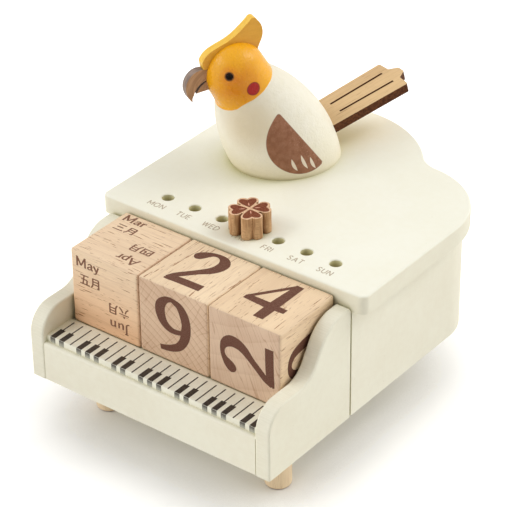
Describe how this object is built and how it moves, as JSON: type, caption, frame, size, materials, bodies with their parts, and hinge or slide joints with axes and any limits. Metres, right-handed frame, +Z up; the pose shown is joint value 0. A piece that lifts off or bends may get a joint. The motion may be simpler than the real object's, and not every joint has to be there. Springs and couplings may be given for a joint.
{
  "type": "desk calendar with drawer",
  "caption": "Piano-shaped wooden perpetual desk calendar: loose date cubes in front of a pull-out tray, a weekday peg in a row of holes, and a turned cockatoo on the lid.",
  "frame": {"origin": "middle of the bounding box in plan, at desk level", "axes": "+Z up, +Y from the keyboard end back to the piano's tail, +X to the right as seen from the keyboard end"},
  "size_m": [0.1144, 0.1566, 0.1294],
  "materials": {
    "ivory_paint": "satin off-white paint on wood",
    "bare_beech": "sanded, clear matt finish",
    "cube_beech": "sanded smooth, printed on the faces",
    "flower_wood": "sanded, printed hearts on top",
    "bird_paint": "satin white paint on turned wood",
    "crest_paint": "satin yellow paint",
    "walnut": "oiled",
    "tail_beech": "sanded, with edges darkened by the cutting",
    "black_bead": "polished"
  },
  "bodies": {
    "case": {"case_rim": "ivory_paint", "case_floor": "ivory_paint", "lid": "ivory_paint", "tail_leg": "bare_beech", "bird_body": "bird_paint", "bird_crest": "crest_paint", "bird_beak": "walnut", "bird_tail": "tail_beech", "bird_dowel": "bare_beech", "bird_eye_left": "black_bead", "bird_eye_right": "black_bead"},
    "drawer": {"cheek_left": "ivory_paint", "cheek_right": "ivory_paint", "keyslip": "ivory_paint", "key_strip": "ivory_paint", "cube_shelf": "ivory_paint", "base_board": "ivory_paint", "front_leg_left": "bare_beech", "front_leg_right": "bare_beech", "bay_wall": "ivory_paint", "tray_side_left": "bare_beech", "tray_side_right": "bare_beech", "tray_back": "bare_beech", "tray_bottom": "bare_beech"},
    "month_cube": {"month_cube": "cube_beech"},
    "tens_cube": {"tens_cube": "cube_beech"},
    "units_cube": {"units_cube": "cube_beech"},
    "peg": {"peg_flower": "flower_wood", "peg_pin": "bare_beech"}
  },
  "joints": [
    {"name": "drawer_slide", "type": "slide", "parent": "case", "child": "drawer", "axis": [0, -1, 0], "range_m": [0, 0.045]},
    {"name": "month_cube_lift", "type": "slide", "parent": "drawer", "child": "month_cube", "axis": [0, 0, 1], "range_m": [0, 0.035]},
    {"name": "tens_cube_lift", "type": "slide", "parent": "drawer", "child": "tens_cube", "axis": [0, 0, 1], "range_m": [0, 0.035]},
    {"name": "units_cube_lift", "type": "slide", "parent": "drawer", "child": "units_cube", "axis": [0, 0, 1], "range_m": [0, 0.035]},
    {"name": "peg_lift", "type": "slide", "parent": "case", "child": "peg", "axis": [0, 0, 1], "range_m": [0, 0.012]}
  ]
}
